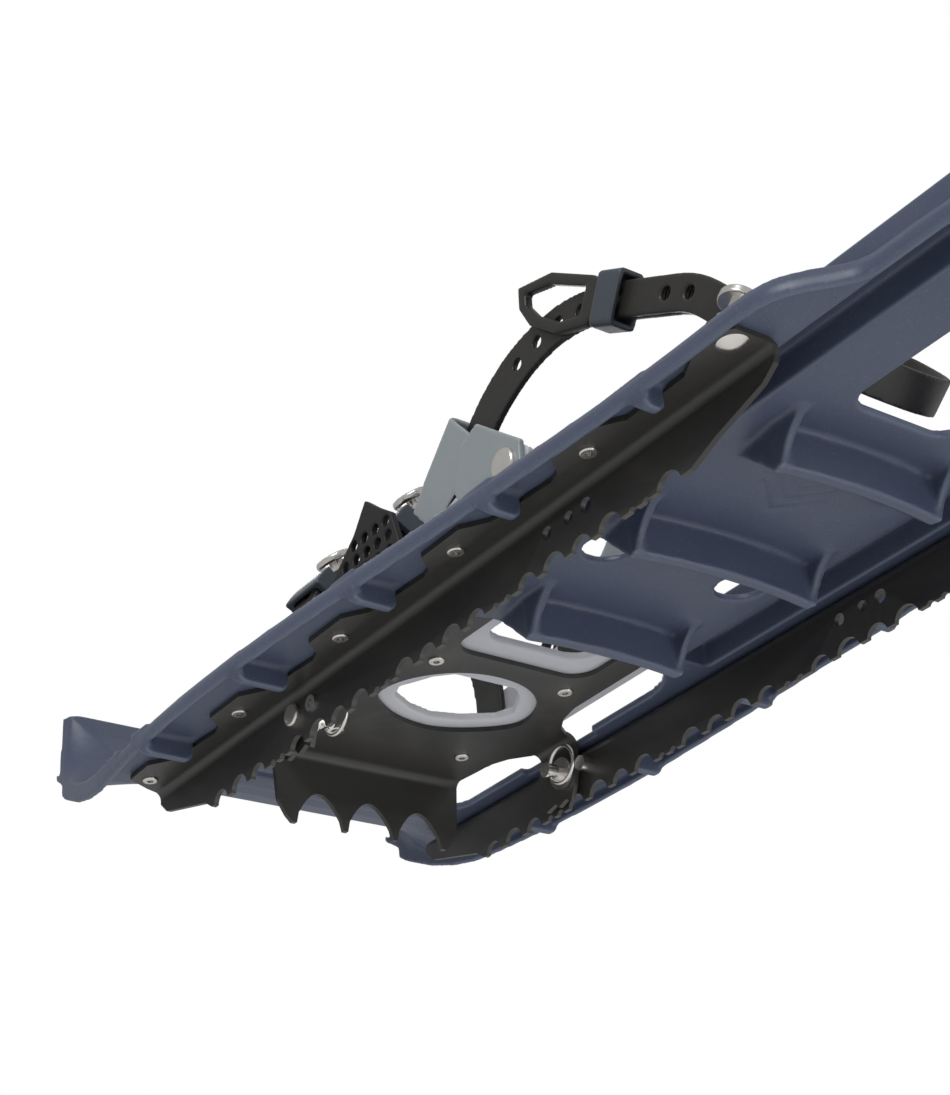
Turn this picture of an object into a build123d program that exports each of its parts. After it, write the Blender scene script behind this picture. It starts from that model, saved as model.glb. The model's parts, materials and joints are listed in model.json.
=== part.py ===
from build123d import *
import os
from math import asin, cos, pi, radians, sin, sqrt, tan

# One snowshoe. x points to the nose, y to the wearer's left, z up, in millimetres.
# Everything is drawn from the first rail rivet, with z = 0 at the underside of the rail flange,
# and moved on export, so that the origin is under the middle of the whole snowshoe, on the snow.

# ---- whole snowshoe
overall_length = 559.0
nose_x = 69.0
tail_x = nose_x - overall_length
claw_tip_z = -25.6

# ---- moulded deck
sheet = 3.0
deck_z = 2.0
deck_top = deck_z + sheet
rim_bottom = -3.0
rim_wall = 3.0
nose_start = 4.0
nose_arc = 106.0
toe_arc = 76.0
toe_start = -10.5
nose_height = 52.0
flare_edge = [(-8, 48), (4, 51.5), (16, 55.5), (28, 59.1), (40, 64.7), (52, 73.4), (60, 81.9), (65.5, 83.5)]
channel_inner = 47.5
channel_outer = 61.5
channel_roof = 12.0
channel_front = -176.0
channel_rear = -440.0
bar_xs = (-196.0, -260.0, -322.0, -424.0)
bar_halves = (35.0, 40.5, 35.5, 36.0)
bar_drop = 15.5
bar_run = 20.0
bar_land = 4.0
bar_bow = 250.0
claw_opening = (-173.0, -17.0, 59.0)
tail_opening = (-390.0, -338.0, 23.0)
strap_hole_x = -232.7
strap_hole_y = 29.8
strap_hole_d = 18.5

# ---- steel rails
rivet_pitch = 70.2
rivet_line_y = 77.5
rivet_xs = [-rivet_pitch * i for i in range(5)]
tail_rivet_x = -346.7
blade_y = 65.5
steel = 2.0
bend = 5.0
blade_z = -20.5
bite_pitch = 14.0
bite_r = 4.9

# ---- binding pivot
pivot_x = -91.0
pivot_z = -7.5
pin_d = 6.0
running_fit = 0.08
stud_x = -103.0
stud_d = 6.0
ear_y = 60.2

# ---- claw plate and cradle
plate_z = 5.1
plate_top = plate_z + steel
claw_half = 44.4
claw_front = -38.0
tooth_ys = (-35.7, -11.9, 11.9, 35.7)
tooth_steps = 12
tooth_depth = 13.8
tip_half = 1.0
claw_rivets = [(-64.0, 30.2), (-64.0, -30.2), (-132.4, 30.2), (-132.4, -30.2)]
pad_t = 3.4
pad_top = plate_top + pad_t
wing_y = 50.0
wing_t = 3.0
wing_top_z = 51.0

# ---- heel loop: a strap that rises through a sleeve, arches over and goes round the heel
strap_w = 17.0
heel_w = 13.0
strap_t = 2.5
loop_y = 41.3
layer_gap = 0.3
arch_x = -231.0
arch_z = 22.8
arch_r = 65.0
rise_deg = 40.0
fall_deg = 28.0
fall_run = 40.0
drop_r = 45.0
drop_deg = 50.0
first_hole = 25.6
hole_pitch = 12.4
keeper_at = 7.0
spool_spot = (-321.0, 49.6, 31.5)
spool_lean = (-0.21, -0.39, 0.9)
sleeve_rivet = (-210.0, 41.0)

# ---- forefoot straps
fore_xs = (-66.0, -122.0)
fore_y = 1.4
fore_z = 34.0
fore_under = 43.1
fore_over = 45.9
fore_pitch = 13.0
fore_post = 30.0
strap_rivet_z = 22.0

parts = {}


def keep(name, part):
    """Moves a finished part from the drawing datum to the part's own origin and stores it."""
    shift = Location((overall_length / 2 - nose_x, 0, -claw_tip_z))
    parts[name] = shift * part


def prism(points, direction, distance):
    """Extrudes a closed polygon."""
    return extrude(make_face(Polyline(*points, close=True)), amount=distance, dir=direction)


def side_prism(points, y0, y1):
    """Extrudes a polygon of (x, z) points from y0 to y1."""
    return prism([(x, y0, z) for x, z in points], (0, 1, 0), y1 - y0)


def block(x0, x1, y0, y1, z0, z1):
    """A plain box between two corners."""
    centre = Location(((x0 + x1) / 2, (y0 + y1) / 2, (z0 + z1) / 2))
    return centre * Box(x1 - x0, y1 - y0, z1 - z0)


def mirrored(part):
    """The same part on the other side of the snowshoe."""
    return mirror(part, about=Plane.XZ)


def y_cylinder(x, z, radius, y0, y1):
    """A cylinder lying along y."""
    spot = Location((x, (y0 + y1) / 2, z), (90, 0, 0))
    return spot * Cylinder(radius, y1 - y0)


def z_cylinder(x, y, radius, z0, z1):
    """An upright cylinder."""
    return Location((x, y, (z0 + z1) / 2)) * Cylinder(radius, z1 - z0)


# ---------------------------------------------------------------- deck


def deck_outline(inset=0.0):
    """Plan of the deck: wide over the claw, a waist at the rails' end and a rounded tail."""
    side = Spline(
        (nose_x, 85.5 - inset), (30, 92.0 - inset), (0, 96.5 - inset), (-50, 101.0 - inset),
        (-100, 101.5 - inset), (-160, 98.5 - inset), (-230, 93.5 - inset), (-300, 89.0 - inset),
        (-352, 88.5 - inset))
    waist = Spline((-352, 88.5 - inset), (-374, 84.5 - inset), (-388, 72.5 - inset), (-402, 70.0 - inset),
                   tangents=[(-1, 0), (-1, 0)])
    end = Spline((-402, 70.0 - inset), (-446, 64.0 - inset), (-478, 42.0 - inset), (tail_x + inset, 0),
                 tangents=[(-1, 0), (0, -1)])
    left = side + waist + end
    front = Line((nose_x, 85.5 - inset), (nose_x, -85.5 + inset))
    return make_face(left + front + mirror(left, about=Plane.XZ))


def rise(x, start, radius):
    """Height gained by a circular arc that leaves the level at start."""
    return radius - sqrt(radius * radius - (x - start) ** 2) if x > start else 0.0


def curved_slab(z_low, z_high, y_half):
    """The space between two heights, level at first and then rising along the nose arc."""
    xs = [nose_start, 16, 28, 42, 56, nose_x]
    low = [(x, z_low + rise(x, nose_start, nose_arc)) for x in xs]
    high = [(x, z_high + rise(x, nose_start, nose_arc)) for x in reversed(xs)]
    return side_prism([(tail_x - 1, z_low)] + low + high + [(tail_x - 1, z_high)], -y_half, y_half)


def deck_sheet():
    """The level sheet and its hanging rim, both following the nose arc."""
    tall = Location((0, 0, -10)) * extrude(deck_outline(), amount=50)
    inner = Location((0, 0, -10)) * extrude(deck_outline(rim_wall), amount=50)
    rim = (tall - inner) & curved_slab(rim_bottom, deck_top, 110)
    rim -= block(nose_x - 8, nose_x + 2, -120, 120, -20, 60)
    body = (tall & curved_slab(deck_z, deck_top, 110)) + rim
    wide = Location((0, 0, deck_z - 0.8)) * deck_outline()
    sloped = loft([wide, Location((0, 0, deck_top)) * deck_outline(2.4)], ruled=True)
    return body - (block(tail_x - 1, toe_start, -110, 110, deck_z - 0.8, deck_top + 1) - sloped)


def toe_points(offset):
    """Side view of the upturned toe, from its start to the top edge."""
    turn = [radians(a) for a in (0, 10, 20, 30, 40, 50, 60)]
    r = toe_arc - offset
    arc = [(toe_start + r * sin(a), deck_z + toe_arc - r * cos(a)) for a in turn]
    x_end, z_end = arc[-1]
    run = (nose_height - z_end) / sin(radians(60))
    return arc + [(x_end + run * cos(radians(60)), nose_height)]


def toe_rise(x):
    """Height and slope of the toe's lower face at x."""
    slope = asin(min((x - toe_start) / toe_arc, sin(radians(60))))
    turn_x = toe_start + toe_arc * sin(slope)
    return deck_z + toe_arc * (1 - cos(slope)) + (x - turn_x) * tan(slope), slope


def flare_section(x, y_in):
    """A slice of the flare at x: from the toe's edge down and out to the rim."""
    low, slope = toe_rise(x)
    inner = Vector(y_in + 1.5, min(low + sheet / cos(slope), nose_height))
    outer = Vector(deck_edge(x), deck_top + rise(x, nose_start, nose_arc))
    run = (outer - inner).normalized()
    inward = Vector(run.Y, -run.X) * sheet
    corners = [inner, outer, outer + inward, inner + inward]
    return Plane.YZ.offset(x) * make_face(Polyline(*[(c.X, c.Y) for c in corners], close=True))


def deck_edge(x):
    """Half width of the deck at the nose, along its nearly straight side."""
    return 85.5 + 0.164 * (nose_x - x)


def nose():
    """The upturned toe, wider towards its top, and the flares that join it to the rims."""
    plan = Location((0, 0, -10)) * extrude(deck_outline(0.4), amount=80)
    fan = [(-12, 47)] + flare_edge + [(nose_x + 1, 85.5)]
    fan += [(x, -y) for x, y in reversed(fan)]
    toe = side_prism(toe_points(0) + toe_points(sheet)[::-1], -100, 100) & plan
    toe &= prism([(x, y, -5) for x, y in fan], (0, 0, 1), 80)
    flare = loft([flare_section(x, y) for x, y in flare_edge], ruled=True) & plan
    return toe + flare + mirrored(flare)


def bar(x_wall, half):
    """A brake bar pressed down from the sheet: a ramp, a narrow land and an upright rear wall."""
    low = deck_z - bar_drop
    outer = [(x_wall, deck_top), (x_wall, low), (x_wall + bar_land, low), (x_wall + bar_run, deck_z),
             (x_wall + bar_run + 2, deck_top)]
    inner = [(x_wall + 3, deck_top + 1), (x_wall + 3, low + 3), (x_wall + 3.5, low + 3),
             (x_wall + bar_run - 2, deck_top + 1)]
    axis = Axis((x_wall + bar_bow, 0, 0), (0, 0, 1))
    spread = half / bar_bow * 57.3
    skin_spread = (half - 3.5) / bar_bow * 57.3
    body = revolve(make_face(Polyline(*[(x, 0, z) for x, z in outer], close=True)), axis, 2 * spread)
    pocket = revolve(make_face(Polyline(*[(x, 0, z) for x, z in inner], close=True)), axis, 2 * skin_spread)
    return body.rotate(axis, -spread), pocket.rotate(axis, -skin_spread)


def gusset(x_wall, y0, y1, drop, reach):
    """A curved web behind a bar's end."""
    edge = ThreePointArc((x_wall - reach, y0, deck_z), (x_wall - 0.38 * reach, y0, deck_z - 0.42 * drop),
                         (x_wall, y0, deck_z - drop))
    back = Polyline((x_wall, y0, deck_z - drop), (x_wall + 2, y0, deck_z - drop), (x_wall + 2, y0, deck_z + 1),
                    (x_wall - reach, y0, deck_z + 1), (x_wall - reach, y0, deck_z))
    return extrude(make_face(edge + back), amount=y1 - y0, dir=(0, 1, 0))


def rim_bar(x_wall, y_rim):
    """A small scoop under the side flange, between two rivets."""
    y0 = 78.5
    outer = [(x_wall, deck_top), (x_wall, -7), (x_wall + 3, -7), (x_wall + 12, deck_z), (x_wall + 13, deck_top)]
    inner = [(x_wall + 2.5, deck_top + 1), (x_wall + 2.5, -4.5), (x_wall + 3.5, -4.5), (x_wall + 10.5, deck_top + 1)]
    scoop = side_prism(outer, y0, y_rim)
    rounded = Plane.YZ * (Location(((y0 + y_rim) / 2, 3)) * RectangleRounded(y_rim - y0, 20, 3.5))
    scoop &= Location((x_wall - 1, 0, 0)) * extrude(rounded, amount=20)
    return scoop, side_prism(inner, y0 + 2.5, y_rim - 3)


def rim_half_width(x):
    """Half width of the deck at a rivet gap, along its nearly straight side."""
    return 101.5 if x > -130 else 101.5 - 0.0665 * (-130 - x)


def deck():
    """The one-piece moulded deck."""
    body = deck_sheet()
    inside = Location((0, 0, -10)) * extrude(deck_outline(rim_wall + 0.2), amount=80)
    body -= inside & block(toe_start + 4, nose_x + 5, -110, 110, -20, 60)
    body += nose()
    for side in (1, -1):
        y0, y1 = sorted((side * (channel_inner - sheet), side * (channel_outer + 2.7)))
        i0, i1 = sorted((side * channel_inner, side * channel_outer))
        body += block(channel_rear, channel_front, y0, y1, deck_z, channel_roof + sheet)
        body -= block(channel_rear + sheet, channel_front - sheet, i0, i1, deck_z - 1, channel_roof)
    pockets = []
    for x_wall, half in zip(bar_xs, bar_halves):
        ramp, pocket = bar(x_wall, half)
        body += ramp
        for y in (half - 3.5, -half):
            body += gusset(x_wall + half * half / bar_bow / 2, y, y + 3.5, bar_drop, 13)
        pockets.append(pocket)
    for x in rivet_xs:
        x_wall = x - rivet_pitch / 2 - 2
        scoop, pocket = rim_bar(x_wall, rim_half_width(x_wall) - 2)
        body += scoop + mirrored(scoop)
        pockets += [pocket, mirrored(pocket)]
    for pocket in pockets:
        body -= pocket
    x0, x1, half = claw_opening
    opening = block(x0, x1, -half, half, -20, 30)
    opening = fillet(opening.edges().filter_by(Axis.Z).group_by(Axis.X)[0], 26)
    opening = fillet(opening.edges().filter_by(Axis.Z).group_by(Axis.X)[-1], 14)
    body -= opening + block(-112, -66, -ear_y - steel - 0.8, ear_y + steel + 0.8, -20, 30)
    x0, x1, half = tail_opening
    body -= fillet(block(x0, x1, -half, half, -20, 30).edges().filter_by(Axis.Z), 9)
    for y in (strap_hole_y, -strap_hole_y):
        body -= z_cylinder(strap_hole_x, y, strap_hole_d / 2, -2, 9)
    for x in rivet_xs + [tail_rivet_x]:
        radius = 2.45 if x == tail_rivet_x else 1.9
        body -= z_cylinder(x, rivet_line_y, radius, -1, 9) + z_cylinder(x, -rivet_line_y, radius, -1, 9)
    for y in (rivet_line_y, -rivet_line_y):
        body -= z_cylinder(0, y, 3.4, deck_top, 9)
    for k in (0, 1, 2):
        body -= chevron(-294 + 7 * k)
    return body


def chevron(x):
    """One shallow arrow groove of the plain mark under the deck."""
    groove = [(x, 0), (x - 12, 13), (x - 12, 16), (x + 2.5, 0), (x - 12, -16), (x - 12, -13)]
    return prism([(px, py, deck_z - 0.1) for px, py in groove], (0, 0, 1), 0.8)


# ---------------------------------------------------------------- rails


def rail_section():
    """Flange on top, a round bend and an upright blade, seen from the end."""
    y_in = blade_y - steel / 2
    y_out = blade_y + steel / 2
    small = bend - steel
    dip = 1 - cos(radians(45))
    outline = Polyline((90, deck_z), (90, 0), (y_out + small, 0))
    outline += ThreePointArc((y_out + small, 0), (y_out + small * dip, -small * dip), (y_out, -small))
    outline += Polyline((y_out, -small), (y_out, blade_z - 2), (y_in, blade_z - 2), (y_in, deck_z - bend))
    outline += ThreePointArc((y_in, deck_z - bend), (y_in + bend * dip, deck_z - bend * dip), (y_in + bend, deck_z))
    outline += Line((y_in + bend, deck_z), (90, deck_z))
    return Plane.YZ * make_face(outline)


def flange_plan():
    """Plan of the flange: a tab at every rivet and a hollow round every rim scoop."""
    points = [(16, 55), (9, 74), (3.5, 84.5)]
    for x in rivet_xs[1:]:
        points += [(x + rivet_pitch - 12, 85), (x + rivet_pitch - 21, 78.5), (x + 20, 76.5), (x + 15, 78), (x + 9, 85)]
    last = rivet_xs[-1]
    points += [(last - 11, 85), (last - 20, 78.5), (last - 46, 78.5), (tail_rivet_x + 9, 84.5), (tail_rivet_x, 84.5)]
    front = Polyline(*points)
    tail = ThreePointArc(points[-1], (tail_rivet_x - 6.8, 81.3), (tail_rivet_x - 9.5, 74))
    blade_side = Polyline((tail_rivet_x - 9.5, 74), (tail_rivet_x - 6, 67), (tail_rivet_x - 6, 55), (16, 55))
    return extrude(make_face(front + tail + blade_side), amount=40)


def blade_side_view():
    """Side view of the blade: tapered ends and a saw of round bites between short teeth."""
    outline = side_prism([(17, 8), (17, 0.5), (7, -9), (-24, -17), (-29, blade_z), (-312, blade_z + 0.8),
                          (-324, -15), (-345, -9), (-351, -5), (-352.7, 0), (-352.7, 8)], 50, 95)
    for i in range(20):
        x = -36 - bite_pitch * i
        if i % 5 == 3:
            outline -= y_cylinder(x + 3, blade_z, 1.8, 50, 95) + y_cylinder(x - 3.5, blade_z, 1.8, 50, 95)
        else:
            outline -= y_cylinder(x, blade_z - 0.4, bite_r + 0.7 * (i % 2), 50, 95)
    return outline


def rail():
    """One pressed steel side rail, on the left."""
    body = extrude(Location((17, 0, 0)) * rail_section(), amount=-376)
    body &= blade_side_view()
    body &= Location((0, 0, -25)) * flange_plan()
    for x in rivet_xs:
        body -= z_cylinder(x, rivet_line_y, 1.9, -5, 9)
    body -= z_cylinder(tail_rivet_x, rivet_line_y, 2.45, -5, 9)
    body -= y_cylinder(pivot_x, pivot_z, pin_d / 2, 60, 70)
    body -= y_cylinder(stud_x, pivot_z, stud_d / 2 - 1, 60, 70)
    for x, radius in ((-244.4, 2.3), (-255.6, 2.2), (-264.4, 2.6)):
        body -= y_cylinder(x, -7.2, radius, 60, 70)
    return body


def eyelet(x, y, z0, z1):
    """A tubular rivet through a stack from z0 to z1, with a rolled head at both ends."""
    shank = z_cylinder(x, y, 1.85, z0 - 0.2, z1 + 0.2)
    lower = z_cylinder(x, y, 3.1, z0 - 0.9, z0)
    upper = z_cylinder(x, y, 3.1, z1, z1 + 0.9)
    lower = fillet(lower.edges().group_by(Axis.Z)[0], 0.6)
    upper = fillet(upper.edges().group_by(Axis.Z)[-1], 0.6)
    return shank + lower + upper - z_cylinder(x, y, 1.2, z0 - 2, z0 + 1)


def domed_rivet(x, y, z0, z1, radius, shank_r, dome):
    """A solid rivet with a wide dome below and a flat upset head above."""
    ball_r = (radius * radius + dome * dome) / (2 * dome)
    cap = Location((x, y, z0 - dome + ball_r)) * Sphere(ball_r)
    cap &= z_cylinder(x, y, radius, z0 - dome - 1, z0)
    return cap + z_cylinder(x, y, shank_r, z0 - 0.2, z1 + 0.2) + z_cylinder(x, y, radius - 1, z1, z1 + 1.4)


# ---------------------------------------------------------------- claw and pivot


def claw_front_flange():
    """The toothed front flange, hanging from a round bend."""
    pitch = tooth_ys[1] - tooth_ys[0]
    pts = [(0, claw_half, plate_z - 3.5), (0, claw_half - 1.5, -17), (0, tooth_ys[-1] + 3.5, claw_tip_z + 2.5)]
    for step in range(int(3 * tooth_steps) + 1):
        phase = step / tooth_steps
        swell = abs(sin(pi * phase)) ** 0.85
        y = tooth_ys[-1] - phase * pitch
        if step % tooth_steps:
            pts.append((0, y, claw_tip_z + tooth_depth * swell))
        else:
            pts += [(0, y + tip_half, claw_tip_z), (0, y - tip_half, claw_tip_z)]
    pts += [(0, tooth_ys[0] - 3.5, claw_tip_z + 2.5), (0, -claw_half + 1.5, -17), (0, -claw_half, plate_z - 3.5)]
    flange = prism([(claw_front - steel, y, z) for x, y, z in pts], (1, 0, 0), steel)
    quarter = prism([(claw_front - 5.5, -claw_half, plate_z - 3.5), (claw_front, -claw_half, plate_z - 3.5),
                     (claw_front, -claw_half, plate_top), (claw_front - 5.5, -claw_half, plate_top)],
                    (0, 1, 0), 2 * claw_half)
    tube = y_cylinder(claw_front - 5.5, plate_z - 3.5, 5.5, -claw_half, claw_half)
    tube -= y_cylinder(claw_front - 5.5, plate_z - 3.5, 3.5, -claw_half, claw_half)
    return flange + (tube & quarter)


def claw_plan():
    """Plan of the flat part: body, two side arms, a wide window and a rear ring."""
    x_bend = claw_front - 5.5
    half = [(x_bend, claw_half), (-54, 45.5), (-62, 46.0), (-70, 49.5), (-77, 56.0), (-78, ear_y - 3.5)]
    half += [(-99.5, ear_y - 3.5), (-104, 50.5), (-112, 45.5), (-122, 43.0), (-180, 43.0), (-190, 36.0)]
    other = [(x, -y) for x, y in reversed(half)]
    body = prism([(x, y, plate_z) for x, y in half + other], (0, 0, 1), steel)
    window = [(-80, 0), (-83, 14), (-90, 26), (-99, 33.5), (-106, 33.5), (-122, 24), (-127, 17)]
    window += [(x, -y) for x, y in reversed(window[1:])]
    body -= Location((0, 0, plate_z - 1)) * extrude(make_face(Spline(*window, periodic=True)), amount=5)
    ring = block(-179, -142, -31, 31, plate_z - 1, plate_top + 1)
    return body - fillet(ring.edges().filter_by(Axis.Z), 10)


def claw_ear():
    """A side ear: bend, upright cheek with a saw edge, and the pivot hole."""
    y0 = ear_y
    y1 = ear_y + steel
    bend_r = 5.5
    tube = Location((-88.75, y1 - bend_r, plate_top - bend_r), (0, 90, 0)) * Cylinder(bend_r, 21.5)
    tube -= Location((-88.75, y1 - bend_r, plate_top - bend_r), (0, 90, 0)) * Cylinder(bend_r - steel, 21.5)
    tube &= block(-99.5, -78, y1 - bend_r, y1, plate_top - bend_r, plate_top)
    cheek = side_prism([(-78, plate_top - bend_r), (-74, -6), (-73, -17), (-78, -19.5), (-84, -18), (-86, -20),
                        (-91, -18.3), (-94, -20.5), (-97, -14), (-99.2, -7), (-99.5, plate_top - bend_r)], y0, y1)
    cheek -= y_cylinder(pivot_x, pivot_z, pin_d / 2 + running_fit, y0 - 1, y1 + 1)
    return tube + cheek


def claw_plate():
    """The pressed steel claw plate."""
    body = claw_front_flange() + claw_plan() + claw_ear() + mirrored(claw_ear())
    for x, y in claw_rivets:
        body -= z_cylinder(x, y, 1.9, 0, 12)
    return body


def pivot_pin():
    """A clevis pin through the blade and the ear, cross-drilled for its ring."""
    head = y_cylinder(pivot_x, pivot_z, 4.4, blade_y + 1.02, blade_y + 3.2)
    head = fillet(head.edges().group_by(Axis.Y)[-1], 0.9)
    shank = y_cylinder(pivot_x, pivot_z, pin_d / 2, 50.6, blade_y + 1.5)
    hole = z_cylinder(pivot_x, 53.2, 1.6, pivot_z - 5, pivot_z + 5)
    return head + shank - hole


def pivot_washer():
    """A flat washer between the ear and the ring."""
    ring = y_cylinder(pivot_x, pivot_z, 6.6, 58.4, 59.9)
    return ring - y_cylinder(pivot_x, pivot_z, pin_d / 2, 58, 60.5)


def split_ring():
    """A split ring threaded up through the pin's cross hole."""
    centre = Location((pivot_x - 7.5, 53.2, pivot_z), (90, 0, 0))
    return centre * Torus(7.5, 0.8)


def stop_stud():
    """A short stud through the blade, which the claw's ear meets at full heel lift."""
    inner = y_cylinder(stud_x, pivot_z, stud_d / 2, blade_y - 6.6, blade_y - 1)
    shank = y_cylinder(stud_x, pivot_z, stud_d / 2 - 1, blade_y - 1.2, blade_y + 1.2)
    outer = y_cylinder(stud_x, pivot_z, 3.1, blade_y + 1, blade_y + 1.9)
    return inner + shank + outer - y_cylinder(stud_x, pivot_z, 1.2, blade_y, blade_y + 3)


# ---------------------------------------------------------------- cradle


def wing_outline():
    """Side view of a cradle wing, tallest where the heel loop is riveted on."""
    return [(-56, plate_top), (-54, 24), (-60, 33), (-100, 38), (-150, 40), (-196, 50), (-212, 51), (-220, 44),
            (-218, 35), (-206, 32), (-186, 30), (-168, plate_top)]


def cradle():
    """The soft foot cradle: a sole ring on the claw plate and two side wings."""
    half = [(-50, 40), (-56, wing_y), (-168, wing_y), (-175, 43.5), (-192, 40)]
    sole = prism([(x, y, plate_top) for x, y in half + [(x, -y) for x, y in reversed(half)]], (0, 0, 1), pad_t)
    window = [(-86, 0), (-89, 12), (-96, 24), (-104, 27), (-117, 20), (-122, 14)]
    window += [(x, -y) for x, y in reversed(window[1:])]
    sole -= prism([(x, y, plate_top - 1) for x, y in window], (0, 0, 1), 8)
    ring = block(-183, -152, -24, 24, plate_top - 1, pad_top + 1)
    sole -= fillet(ring.edges().filter_by(Axis.Z), 9)
    for x, y in claw_rivets:
        sole -= z_cylinder(x, y, 1.9, 0, 12)
    wing = side_prism(wing_outline(), wing_y - wing_t, wing_y)
    for x in fore_xs:
        wing -= y_cylinder(x, strap_rivet_z, 1.9, wing_y - 5, wing_y + 2)
    wing -= y_cylinder(sleeve_rivet[0], sleeve_rivet[1], 2.5, wing_y - 5, wing_y + 2)
    return sole + wing + mirrored(wing)


def instep_pad():
    """A soft perforated pad on the outside of a cradle wing."""
    pad = side_prism([(-93, 30), (-95, 44), (-116, 60), (-125, 71), (-133, 64), (-141, 58), (-145, 44), (-146, 30)],
                     wing_y, wing_y + 3)
    pitch = 7.2
    for row, (x, count) in enumerate(((-99, 6), (-102.6, 6), (-109.8, 5), (-116, 4))):
        for i in range(count):
            pad -= y_cylinder(x - pitch * i, 36 + 6.5 * row, 2.3, wing_y - 1, wing_y + 4)
    return pad


# ---------------------------------------------------------------- forefoot straps


def fore_point(angle, radius):
    """A point over the forefoot; the angle runs from the top towards the left."""
    return (fore_y + radius * sin(radians(angle)), fore_z + radius * cos(radians(angle)))


def fore_strip(r0, r1, a0, a1, x, width):
    """A curved strip over the forefoot, between two radii and two angles."""
    mid = (a0 + a1) / 2
    outline = ThreePointArc(fore_point(a0, r1), fore_point(mid, r1), fore_point(a1, r1))
    outline += Line(fore_point(a1, r1), fore_point(a1, r0))
    outline += ThreePointArc(fore_point(a1, r0), fore_point(mid, r0), fore_point(a0, r0))
    outline += Line(fore_point(a0, r0), fore_point(a0, r1))
    return Location((x - width / 2, 0, 0)) * extrude(Plane.YZ * make_face(outline), amount=width)


def fore_cylinder(x, angle, radius, r0, r1):
    """A cylinder standing on the forefoot arch, pointing away from its centre."""
    y, z = fore_point(angle, (r0 + r1) / 2)
    return Location((x, y, z), (-angle, 0, 0)) * Cylinder(radius, r1 - r0)


def toe_strap(x):
    """The long forefoot strap, from the right wing over the foot, with a row of holes."""
    top = fore_over + strap_t
    body = fore_strip(fore_over, top, -90, 62, x, strap_w) + fore_cylinder(x, 62, strap_w / 2, fore_over, top)
    body += block(x - strap_w / 2, x + strap_w / 2, fore_y - top, fore_y - fore_over, 14, fore_z)
    for i in range(-6, 3):
        radius = 3.1 if i == 0 else 2.4
        body -= fore_cylinder(x, fore_post + fore_pitch * i, radius, 40, 60)
    return body - y_cylinder(x, strap_rivet_z, 1.9, -wing_y - 1, -wing_y + 9)


def toe_buckle(x):
    """The short forefoot strap on the left, with a frame that the long strap runs through."""
    top = fore_under + strap_t
    body = fore_strip(fore_under, top, 5, 90, x, strap_w) + fore_strip(fore_under, 51.4, 0, 10, x, strap_w + 8)
    body -= fore_strip(top, 48.8, -2, 12, x, strap_w + 1)
    body += block(x - strap_w / 2, x + strap_w / 2, fore_y + fore_under, fore_y + top, 14, fore_z)
    body -= fore_cylinder(x, fore_post, 3.1, 40, 60)
    return body - y_cylinder(x, strap_rivet_z, 1.9, wing_y - 9, wing_y + 1)


def toe_post(x):
    """The button that joins the two forefoot straps."""
    top = fore_over + strap_t
    head = fillet(fore_cylinder(x, fore_post, 8.2, top + 3.6, top + 6.8).edges(), 1.2)
    waist = fore_cylinder(x, fore_post, 3.0, fore_under - 1, top + 4)
    collar = fore_cylinder(x, fore_post, 5.4, top + 0.3, top + 1.7)
    foot = fore_cylinder(x, fore_post, 6.5, fore_under - 2.7, fore_under - 0.7)
    return head + waist + collar + foot


def toe_keeper(x):
    """The small loop that slides along both forefoot straps."""
    under = fore_under - 0.4
    over = fore_over + strap_t + 1
    body = fore_strip(under - 2.2, over + 2.2, 47, 59, x, strap_w + 7)
    return body - fore_strip(under, over, 45, 61, x, strap_w + 1)


def strap_rivet(x):
    """A flat-headed rivet through a forefoot strap and the left wing."""
    y0 = fore_y + fore_under
    outer = fillet(y_cylinder(x, strap_rivet_z, 4.2, wing_y, wing_y + 1.6).edges().group_by(Axis.Y)[-1], 0.7)
    inner = fillet(y_cylinder(x, strap_rivet_z, 4.2, y0 - 1.6, y0).edges().group_by(Axis.Y)[0], 0.7)
    return outer + inner + y_cylinder(x, strap_rivet_z, 1.85, y0 - 0.2, wing_y + 0.2)


# ---------------------------------------------------------------- heel loop


arch_run = arch_r * radians(rise_deg + fall_deg)
drop_run = drop_r * radians(drop_deg - fall_deg)
whole_run = arch_run + fall_run + drop_run


def path(s, up=0.0):
    """A point (x, z) along the heel strap's side view: lead, arch, straight and drop, with an offset outwards."""
    turn = radians(-rise_deg + min(max(s, 0) / arch_run, 1) * (rise_deg + fall_deg))
    x = arch_x - (arch_r + up) * sin(turn)
    z = arch_z + (arch_r + up) * cos(turn)
    ahead = min(s, 0) + min(max(s - arch_run, 0), fall_run)
    x -= ahead * cos(turn)
    z -= ahead * sin(turn)
    last = max(s - arch_run - fall_run, 0)
    if last:
        bent = radians(fall_deg) + last / drop_r
        x += (drop_r + up) * (sin(radians(fall_deg)) - sin(bent))
        z += (drop_r + up) * (cos(bent) - cos(radians(fall_deg)))
    return (x, z)


def band_width(s):
    """The straps narrow from the sleeves towards the heel."""
    return strap_w - (strap_w - heel_w) * min(max((s - 20) / 60, 0), 1)


def strip(start, end, y_span):
    """A flat strap layer that follows the path between two distances."""
    count = max(2, int((end - start) / 3.5))
    stations = [start + (end - start) * i / count for i in range(count + 1)]
    top = [path(s, band_width(s) / 2) for s in stations]
    low = [path(s, -band_width(s) / 2) for s in reversed(stations)]
    return side_prism(top + low, *y_span)


inner_layer = (loop_y, loop_y + strap_t)
outer_layer = (loop_y + strap_t + layer_gap, loop_y + 2 * strap_t + layer_gap)


def strap_hole(s, radius=2.4):
    """A tool for a hole right through both layers."""
    x, z = path(s)
    return y_cylinder(x, z, radius, loop_y - 3, loop_y + 12)


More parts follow.
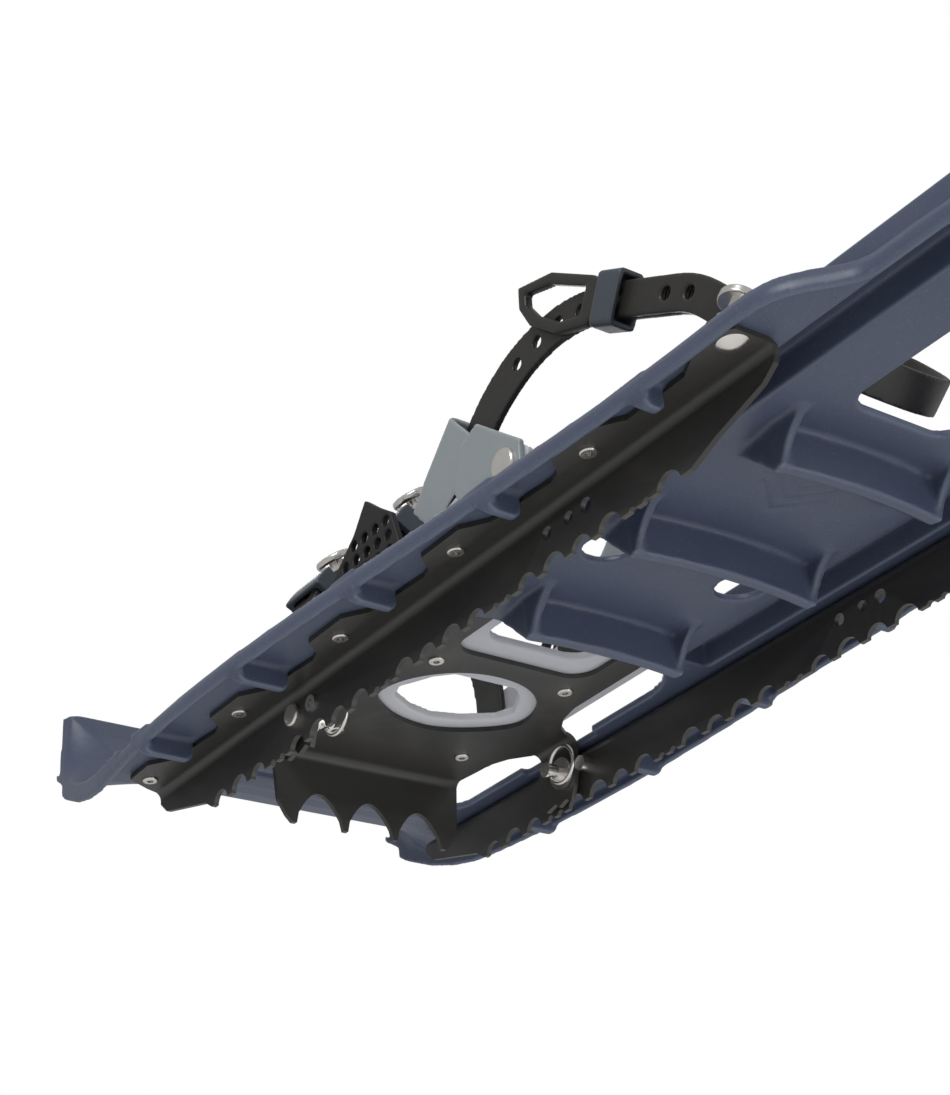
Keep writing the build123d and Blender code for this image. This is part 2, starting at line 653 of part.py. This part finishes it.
def heel_strap():
    """The strap with holes: up through the left sleeve, over the arch and down the inside."""
    end = whole_run - 5
    x, z = path(end)
    body = strip(-46, end, inner_layer) + y_cylinder(x, z, heel_w / 2, *inner_layer)
    for k in range(9):
        body -= strap_hole(first_hole + hole_pitch * k)
    return body - strap_hole(arch_run + keeper_at, 2.0)


def heel_turn(y_out, y_in):
    """The band round the back of the heel, in the plane of the steep run."""
    down = (-cos(radians(drop_deg)), 0, -sin(radians(drop_deg)))
    across = (-sin(radians(drop_deg)), 0, cos(radians(drop_deg)))
    x, z = path(whole_run, -heel_w / 2)
    plane = Plane(origin=(x, 0, z), x_dir=down, z_dir=across)
    outline = ThreePointArc((0, y_out), (y_out, 0), (0, -y_out)) + Line((0, -y_out), (0, -y_in))
    outline += ThreePointArc((0, -y_in), (y_in, 0), (0, y_in)) + Line((0, y_in), (0, y_out))
    return extrude(plane * make_face(outline), amount=heel_w)


def loop_point(u, v):
    """A point on the pull loop's side view, measured along the loop from its root."""
    c = cos(radians(30))
    return (-262 + c * u - 0.5 * v, 80.5 + 0.5 * u + c * v)


def pull_loop():
    """The open finger loop at the free end of the heel band."""
    outer = [(-2.2, 6.6), (1.5, 6.8), (6, 8.8), (32, 11.1), (51, 5.9), (47, -2.4), (38, -8.5), (21, -11.9)]
    outer += [(4, -9.2), (1.5, -6.8), (-2.2, -6.6)]
    inner = [(9, 5.0), (31, 6.6), (45, 3.6), (43, -0.6), (35, -4.6), (20, -7.4), (9, -5.4)]
    frame = side_prism([loop_point(u, v) for u, v in outer], outer_layer[0], outer_layer[1] + 1.2)
    frame -= side_prism([loop_point(u, v) for u, v in inner], 30, 60)
    return fillet(frame.edges().group_by(Axis.Y)[-1], 0.9)


def spool_plane():
    """The leaning plane that the spool stands on, outside the band."""
    return Plane(origin=spool_spot, x_dir=(0, -1, -0.433), z_dir=spool_lean)


def heel_spool():
    """The bright spool that stands on the heel band's lug."""
    flange = Location((0, 0, 0.75)) * Cylinder(5.4, 1.5)
    neck = Location((0, 0, 5)) * Cylinder(3.2, 10)
    disc = fillet((Location((0, 0, 10.2)) * Cylinder(7.2, 3)).edges(), 0.7)
    return spool_plane() * (flange + neck + disc)


def heel_band():
    """The outer heel strap: pull loop, left run, round the heel and back to the right sleeve."""
    left = strip(arch_run - 1, whole_run, outer_layer)
    for k in (7, 8):
        left -= strap_hole(first_hole + hole_pitch * k)
    left -= strap_hole(arch_run + keeper_at, 2.0)
    right = strip(-46, whole_run, outer_layer)
    lug = spool_plane() * (Location((3, 0, -1.5)) * Box(18, 10, 3))
    body = pull_loop() + left + heel_turn(outer_layer[1], outer_layer[0]) + mirrored(right) + lug
    return body - heel_spool()


def heel_stud():
    """The flat stud that joins both straps under the keeper."""
    x, z = path(arch_run + keeper_at)
    return y_cylinder(x, z, 1.95, inner_layer[0] - 0.2, outer_layer[1] + 0.2) + \
        y_cylinder(x, z, 3.6, outer_layer[1], outer_layer[1] + 0.9)


def heel_keeper():
    """The small loop that slides along both straps."""
    x, z = path(arch_run + keeper_at - 6)
    down = (-cos(radians(fall_deg)), 0, -sin(radians(fall_deg)))
    plane = Plane(origin=(x, 0, z), x_dir=(0, 1, 0), z_dir=down)
    y0 = inner_layer[0] - 0.4
    y1 = outer_layer[1] + 1.6
    mid = (y0 + y1) / 2
    outer = Location((mid, 0)) * RectangleRounded(y1 - y0 + 3.8, heel_w + 7.2, 2)
    inner = Location((mid, 0)) * Rectangle(y1 - y0, heel_w + 3.4)
    return extrude(plane * (outer - inner), amount=12)


def sleeve_section(distance, depth, height, corner, lift=0.0):
    """A rounded section across the lead run."""
    x, z = path(-distance, lift)
    axis = (cos(radians(rise_deg)), 0, -sin(radians(rise_deg)))
    plane = Plane(origin=(x, inner_layer[0] + strap_t / 2 + 1.2, z), x_dir=(0, 1, 0), z_dir=axis)
    return plane * RectangleRounded(depth, height, corner)


def wing_space():
    """The slot that the cradle's wing needs in a sleeve, over the loop's whole swing."""
    x, z = sleeve_rivet
    pivot = Axis((x, 0, z), (0, 1, 0))
    grown = side_prism(wing_outline(), wing_y - wing_t - 0.4, wing_y + 0.05)
    room = grown + y_cylinder(x, z, 17, wing_y - wing_t - 0.4, wing_y + 0.05)
    for turn in (-3, 3, 9, 15, 21):
        room += grown.rotate(pivot, -turn)
    return room


def sleeve():
    """A flared sleeve wrapped round the strap and riveted to the cradle's wing."""
    body = loft([sleeve_section(4, 15.0, 35.0, 6, -3), sleeve_section(42, 13.4, 25.5, 5)])
    hollow = loft([sleeve_section(3.5, 10.6, 30.0, 3, -3), sleeve_section(42.5, 8.2, 21.8, 1.2)])
    x, z = sleeve_rivet
    lobe = side_prism([(-180, 45), (-186, 62), (-196, 66), (-208, 56), (x - 9, z + 6), (x - 8, z - 6), (x + 2, z - 10),
                       (-186, 34)], wing_y + 0.05, wing_y + 2.6)
    lobe -= y_cylinder(x, z, 2.5, wing_y - 5, wing_y + 8)
    return body - wing_space() - hollow + lobe


def sleeve_dome():
    """The domed rivet that holds a sleeve to the cradle, with a flat head inside."""
    x, z = sleeve_rivet
    head = y_cylinder(x, z, 6.2, wing_y + 2.6, wing_y + 4.6)
    head = fillet(head.edges().group_by(Axis.Y)[-1], 1.6)
    inside = fillet(y_cylinder(x, z, 5.2, wing_y - wing_t - 1.3, wing_y - wing_t).edges().group_by(Axis.Y)[0], 0.5)
    return head + inside + y_cylinder(x, z, 2.45, wing_y - wing_t - 0.2, wing_y + 2.8)


def save_all():
    os.makedirs("parts", exist_ok=True)
    for name, part in parts.items():
        part.label = name
        export_step(part, "parts/" + name + ".step")


keep("deck", deck())
left_rail = rail()
keep("rail_left", left_rail)
keep("rail_right", mirrored(left_rail))
eyelets = [eyelet(x, y, 0, deck_top) for x in rivet_xs for y in (rivet_line_y, -rivet_line_y)]
keep("rail_eyelets", Compound(eyelets))
big = domed_rivet(tail_rivet_x, rivet_line_y, 0, deck_top, 4.9, 2.4, 1.7)
keep("tail_rivets", Compound([big, mirrored(big)]))
pin = pivot_pin()
keep("pivot_pins", Compound([pin, mirrored(pin)]))
washer = pivot_washer()
keep("pivot_washers", Compound([washer, mirrored(washer)]))
stud = stop_stud()
keep("stop_studs", Compound([stud, mirrored(stud)]))
ring = split_ring()
keep("split_ring_left", ring)
keep("split_ring_right", mirrored(ring))
keep("claw_plate", claw_plate())
keep("claw_rivets", Compound([eyelet(x, y, plate_z, pad_top) for x, y in claw_rivets]))
keep("cradle", cradle())
pad = instep_pad()
keep("instep_pad_left", pad)
keep("instep_pad_right", mirrored(pad))
for place, x in zip(("front", "rear"), fore_xs):
    keep("toe_strap_" + place, toe_strap(x))
    keep("toe_buckle_" + place, toe_buckle(x))
    keep("toe_post_" + place, toe_post(x))
    keep("toe_keeper_" + place, toe_keeper(x))
rivets = [strap_rivet(x) for x in fore_xs]
keep("strap_rivets", Compound(rivets + [mirrored(rivet) for rivet in rivets]))
keep("heel_strap", heel_strap())
keep("heel_band", heel_band())
keep("heel_spool", heel_spool())
keep("heel_stud", heel_stud())
keep("heel_keeper", heel_keeper())
left_sleeve = sleeve()
keep("sleeve_left", left_sleeve)
keep("sleeve_right", mirrored(left_sleeve))
dome = sleeve_dome()
keep("sleeve_rivets", Compound([dome, mirrored(dome)]))
save_all()
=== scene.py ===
import json
import bpy
import bmesh
from mathutils import Matrix, Vector


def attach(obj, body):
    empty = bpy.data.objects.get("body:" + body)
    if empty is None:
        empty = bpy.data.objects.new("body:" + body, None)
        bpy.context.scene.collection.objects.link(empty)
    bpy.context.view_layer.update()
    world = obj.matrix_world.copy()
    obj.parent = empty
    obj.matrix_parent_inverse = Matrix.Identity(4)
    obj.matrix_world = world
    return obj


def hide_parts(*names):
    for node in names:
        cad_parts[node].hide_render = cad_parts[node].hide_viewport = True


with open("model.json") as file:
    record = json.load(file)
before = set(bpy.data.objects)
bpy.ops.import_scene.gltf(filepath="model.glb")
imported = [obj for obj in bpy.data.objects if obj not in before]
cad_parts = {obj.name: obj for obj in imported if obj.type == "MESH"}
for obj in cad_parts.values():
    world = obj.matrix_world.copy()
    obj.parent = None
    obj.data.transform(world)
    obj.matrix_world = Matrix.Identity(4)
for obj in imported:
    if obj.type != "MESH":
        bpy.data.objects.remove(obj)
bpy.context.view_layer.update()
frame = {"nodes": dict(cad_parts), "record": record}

RECORD = frame["record"]
BODY_OF = {node: body for body, names in RECORD["behaviour"]["bodies"].items() for node in names}
SLOT_OF = {part["node"]: part["material_slot"] for part in RECORD["subparts"]}


# ---------------------------------------------------------------- materials


def node(tree, kind, **values):
    """A shader node with its inputs or settings filled in."""
    made = tree.nodes.new("ShaderNode" + kind)
    for key, value in values.items():
        if key in made.inputs:
            made.inputs[key].default_value = value
        else:
            setattr(made, key, value)
    return made


def ramp(tree, source, low, high, first, second):
    """A colour ramp between two colours, over a narrow span of its input."""
    made = tree.nodes.new("ShaderNodeValToRGB")
    made.color_ramp.elements[0].position = low
    made.color_ramp.elements[1].position = high
    made.color_ramp.elements[0].color = (*first, 1)
    made.color_ramp.elements[1].color = (*second, 1)
    tree.links.new(source, made.inputs["Fac"])
    return made.outputs["Color"]


def material(name, colour, tint, rough, rough_span=0.08, patch=14.0, grain=900.0, grain_mm=0.04, ripple=60.0,
             ripple_mm=0.0, edge_wear_and_highlight=None, edge_from=0.53, edge_to=0.62, speck=None, speck_scale=1500.0,
             **shader):
    """A surface with mottled colour, uneven gloss, moulded or coated grain, and lighter convex edges that are
    partly wear and partly painted highlight.
    """
    made = bpy.data.materials.new(name)
    made.use_nodes = True
    tree = made.node_tree
    bsdf = tree.nodes["Principled BSDF"]
    place = node(tree, "TexCoord").outputs["Object"]
    mottle = node(tree, "TexNoise", Scale=patch, Detail=6.0, Roughness=0.6)
    tree.links.new(place, mottle.inputs["Vector"])
    shade = ramp(tree, mottle.outputs["Fac"], 0.3, 0.7, colour, tint)
    if speck:
        flecks = node(tree, "TexNoise", Scale=speck_scale, Detail=2.0)
        tree.links.new(place, flecks.inputs["Vector"])
        mix = node(tree, "Mix", data_type="RGBA")
        tree.links.new(ramp(tree, flecks.outputs["Fac"], 0.62, 0.7, (0, 0, 0), (1, 1, 1)), mix.inputs[0])
        tree.links.new(shade, mix.inputs[6])
        mix.inputs[7].default_value = (*speck, 1)
        shade = mix.outputs[2]
    # Convex edges, found by pointiness, take a lighter colour: partly real wear, partly painted highlight
    # where rims catch the light.
    if edge_wear_and_highlight:
        wear_and_edge_highlight = node(tree, "Mix", data_type="RGBA")
        corner = node(tree, "NewGeometry").outputs["Pointiness"]
        tree.links.new(ramp(tree, corner, edge_from, edge_to, (0, 0, 0), (1, 1, 1)), wear_and_edge_highlight.inputs[0])
        tree.links.new(shade, wear_and_edge_highlight.inputs[6])
        wear_and_edge_highlight.inputs[7].default_value = (*edge_wear_and_highlight, 1)
        shade = wear_and_edge_highlight.outputs[2]
    tree.links.new(shade, bsdf.inputs["Base Color"])
    gloss = node(tree, "TexNoise", Scale=patch * 5, Detail=5.0, Roughness=0.65)
    tree.links.new(place, gloss.inputs["Vector"])
    span = node(tree, "MapRange")
    span.inputs["To Min"].default_value = rough - rough_span
    span.inputs["To Max"].default_value = rough + rough_span
    tree.links.new(gloss.outputs["Fac"], span.inputs["Value"])
    tree.links.new(span.outputs["Result"], bsdf.inputs["Roughness"])
    fine = node(tree, "TexNoise", Scale=grain, Detail=3.0)
    tree.links.new(place, fine.inputs["Vector"])
    bump = node(tree, "Bump", Strength=1.0, Distance=grain_mm / 1000)
    tree.links.new(fine.outputs["Fac"], bump.inputs["Height"])
    if ripple_mm:
        wave = node(tree, "TexNoise", Scale=ripple, Detail=2.0)
        tree.links.new(place, wave.inputs["Vector"])
        wide = node(tree, "Bump", Strength=1.0, Distance=ripple_mm / 1000)
        tree.links.new(wave.outputs["Fac"], wide.inputs["Height"])
        tree.links.new(wide.outputs["Normal"], bump.inputs["Normal"])
    tree.links.new(bump.outputs["Normal"], bsdf.inputs["Normal"])
    for key, value in shader.items():
        bsdf.inputs[key.replace("_", " ")].default_value = value
    return made


MATERIALS = {
    "deck_plastic": material(
        "deck_plastic", (0.068, 0.086, 0.142), (0.082, 0.101, 0.160), 0.40, grain=1400, grain_mm=0.03,
        ripple=38, ripple_mm=0.35, edge_wear_and_highlight=(0.19, 0.235, 0.31), edge_from=0.52, edge_to=0.60,
        speck=(0.12, 0.14, 0.21), Subsurface_Weight=0.10, Subsurface_Radius=(0.5, 0.7, 1.0),
        Subsurface_Scale=0.003, Specular_IOR_Level=0.5),
    "black_steel": material(
        "black_steel", (0.011, 0.0105, 0.010), (0.016, 0.015, 0.0135), 0.42, grain=1900, grain_mm=0.05,
        ripple=160, ripple_mm=0.05, edge_wear_and_highlight=(0.06, 0.058, 0.054), edge_from=0.56, edge_to=0.66,
        speck=(0.03, 0.029, 0.027),
        Specular_IOR_Level=0.55, Coat_Weight=0.15, Coat_Roughness=0.35),
    # The rivets' lighter edge colour is a painted highlight on their rims.
    "bright_steel": material(
        "bright_steel", (0.76, 0.73, 0.69), (0.86, 0.83, 0.79), 0.24, grain=2600, grain_mm=0.015, patch=90,
        ripple=420, ripple_mm=0.03, edge_wear_and_highlight=(0.9, 0.88, 0.85), Metallic=1.0),
    "cradle_tpu": material(
        "cradle_tpu", (0.52, 0.54, 0.60), (0.60, 0.61, 0.64), 0.38, grain=1200, grain_mm=0.02, ripple=50,
        ripple_mm=0.15, Subsurface_Weight=0.45, Subsurface_Radius=(1.0, 0.9, 0.75), Subsurface_Scale=0.004),
    # The sleeve's lighter edge colour is a painted highlight along its rims.
    "sleeve_tpu": material(
        "sleeve_tpu", (0.30, 0.34, 0.355), (0.36, 0.40, 0.415), 0.34, grain=1200, grain_mm=0.02, ripple=45,
        ripple_mm=0.2, edge_wear_and_highlight=(0.5, 0.53, 0.52), Subsurface_Weight=0.4, Subsurface_Radius=(1.0, 0.95, 0.8),
        Subsurface_Scale=0.003),
    "strap_black": material(
        "strap_black", (0.018, 0.0165, 0.015), (0.027, 0.025, 0.0225), 0.40, grain=1100, grain_mm=0.05,
        ripple=90, ripple_mm=0.12, edge_wear_and_highlight=(0.075, 0.07, 0.062), speck=(0.035, 0.033, 0.03)),
    "keeper_grey": material(
        "keeper_grey", (0.045, 0.06, 0.075), (0.06, 0.078, 0.095), 0.36, grain=1200, grain_mm=0.03, ripple=80,
        ripple_mm=0.1, edge_wear_and_highlight=(0.16, 0.19, 0.22), Subsurface_Weight=0.2, Subsurface_Scale=0.002),
    "pad_black": material(
        "pad_black", (0.010, 0.010, 0.010), (0.016, 0.0155, 0.015), 0.55, grain=700, grain_mm=0.08,
        ripple=120, ripple_mm=0.1, edge_wear_and_highlight=(0.03, 0.03, 0.03)),
}


# ---------------------------------------------------------------- pieces


WELD = 1e-5
SMOOTHING = 4


def dress(name):
    """Puts the full material on a CAD node that keeps its own shape."""
    obj = frame["nodes"][name]
    obj.data.materials.clear()
    obj.data.materials.append(MATERIALS[SLOT_OF[name]])


def adopt(mesh, name):
    """Makes a mesh the visible piece that stands for a CAD node and moves with its body."""
    piece = bpy.data.objects.new(name + "_skin", mesh)
    bpy.context.scene.collection.objects.link(piece)
    mesh.materials.clear()
    mesh.materials.append(MATERIALS[SLOT_OF[name]])
    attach(piece, BODY_OF[name])
    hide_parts(name)


def applied(obj):
    """The object's mesh with its modifiers applied."""
    bpy.context.view_layer.update()
    seen = obj.evaluated_get(bpy.context.evaluated_depsgraph_get())
    return bpy.data.meshes.new_from_object(seen)


def worked(name, *modifiers):
    """A copy of a CAD node's mesh after a list of modifiers."""
    mesh = frame["nodes"][name].data.copy()
    temp = bpy.data.objects.new(name + "_work", mesh)
    bpy.context.scene.collection.objects.link(temp)
    welded = temp.modifiers.new("weld", "WELD")
    welded.merge_threshold = WELD
    for kind, values in modifiers:
        step = temp.modifiers.new(kind.lower(), kind)
        for key, value in values.items():
            setattr(step, key, value)
    done = applied(temp)
    bpy.data.objects.remove(temp)
    return done


def moulded(name, voxel, rounds):
    """A moulded piece: the same shape, rebuilt evenly and with every edge softened."""
    mesh = worked(name, ("REMESH", {"mode": "VOXEL", "voxel_size": voxel}),
                  ("SMOOTH", {"factor": 0.5, "iterations": rounds}))
    mesh.polygons.foreach_set("use_smooth", [True] * len(mesh.polygons))
    adopt(mesh, name)


# Mesh size of each soft or moulded piece, in metres. The other nodes are metal and keep their own shape.
VOXEL = {"deck": 0.0009, "cradle": 0.0008, "sleeve_left": 0.0007, "sleeve_right": 0.0007,
         "heel_strap": 0.0006, "heel_band": 0.0006, "heel_keeper": 0.0005,
         "toe_strap_front": 0.0006, "toe_strap_rear": 0.0006,
         "toe_buckle_front": 0.0006, "toe_buckle_rear": 0.0006, "toe_keeper_front": 0.0005,
         "toe_keeper_rear": 0.0005, "instep_pad_left": 0.0006, "instep_pad_right": 0.0006}
for name in frame["nodes"]:
    if name in VOXEL:
        moulded(name, VOXEL[name], SMOOTHING)
    else:
        dress(name)


# ---------------------------------------------------------------- camera, light and floor


MIDDLE = (0, 0, 0.03)
AMBIENT = 0.42
FLOOR_SIZE = 60.0
FLOOR_Z = -0.9


def aim(obj, place, target):
    """Puts a lamp at a place and turns it to a target."""
    obj.location = place
    obj.rotation_euler = (Vector(target) - Vector(place)).to_track_quat("-Z", "Y").to_euler()


camera_data = bpy.data.cameras.new("camera")
camera_data.sensor_fit = "VERTICAL"
camera_data.sensor_height = 36.0
camera_data.lens = 68.27
camera = bpy.data.objects.new("camera", camera_data)
right = Vector((-0.584339, -0.807778, -0.077738))
up = Vector((-0.433702, 0.229890, 0.871237))
ahead = Vector((0.685894, -0.542813, 0.484668))
camera.matrix_world = Matrix(((right.x, up.x, -ahead.x, -0.472878), (right.y, up.y, -ahead.y, 0.443479),
                              (right.z, up.z, -ahead.z, -0.304984), (0, 0, 0, 1)))
bpy.context.scene.collection.objects.link(camera)
bpy.context.scene.camera = camera


def area(name, place, size, power):
    """A round soft lamp aimed at the snowshoe."""
    data = bpy.data.lights.new(name, "AREA")
    data.shape = "DISK"
    data.size = size
    data.energy = power
    lamp = bpy.data.objects.new(name, data)
    bpy.context.scene.collection.objects.link(lamp)
    aim(lamp, place, MIDDLE)


area("key", (-0.9, 1.3, 1.1), 0.9, 15)
area("fill", (-1.3, -0.5, -0.55), 1.0, 4)
area("back", (1.2, -0.9, 1.0), 0.8, 9)

# The backdrop is white, and lights the snowshoe less than it shows.
world = bpy.data.worlds.new("studio")
world.use_nodes = True
backdrop = world.node_tree.nodes["Background"]
backdrop.inputs["Color"].default_value = (1, 1, 1, 1)
strength = node(world.node_tree, "MapRange")
strength.inputs["To Min"].default_value = AMBIENT
strength.inputs["To Max"].default_value = 1.0
seen = node(world.node_tree, "LightPath").outputs["Is Camera Ray"]
world.node_tree.links.new(seen, strength.inputs["Value"])
world.node_tree.links.new(strength.outputs["Result"], backdrop.inputs["Strength"])
bpy.context.scene.world = world
bpy.context.scene.view_settings.view_transform = "Standard"

# The floor is far below, because the photograph's camera looks up at the snowshoe's underside.
floor_mesh = bpy.data.meshes.new("floor")
shape = bmesh.new()
bmesh.ops.create_grid(shape, x_segments=8, y_segments=8, size=FLOOR_SIZE)
shape.to_mesh(floor_mesh)
shape.free()
floor = bpy.data.objects.new("floor", floor_mesh)
floor.location = (0, 0, FLOOR_Z)
pale = (0.93, 0.93, 0.93)
paler = (0.95, 0.95, 0.95)
floor_mesh.materials.append(material("floor", pale, paler, 0.8, patch=3))
bpy.context.scene.collection.objects.link(floor)
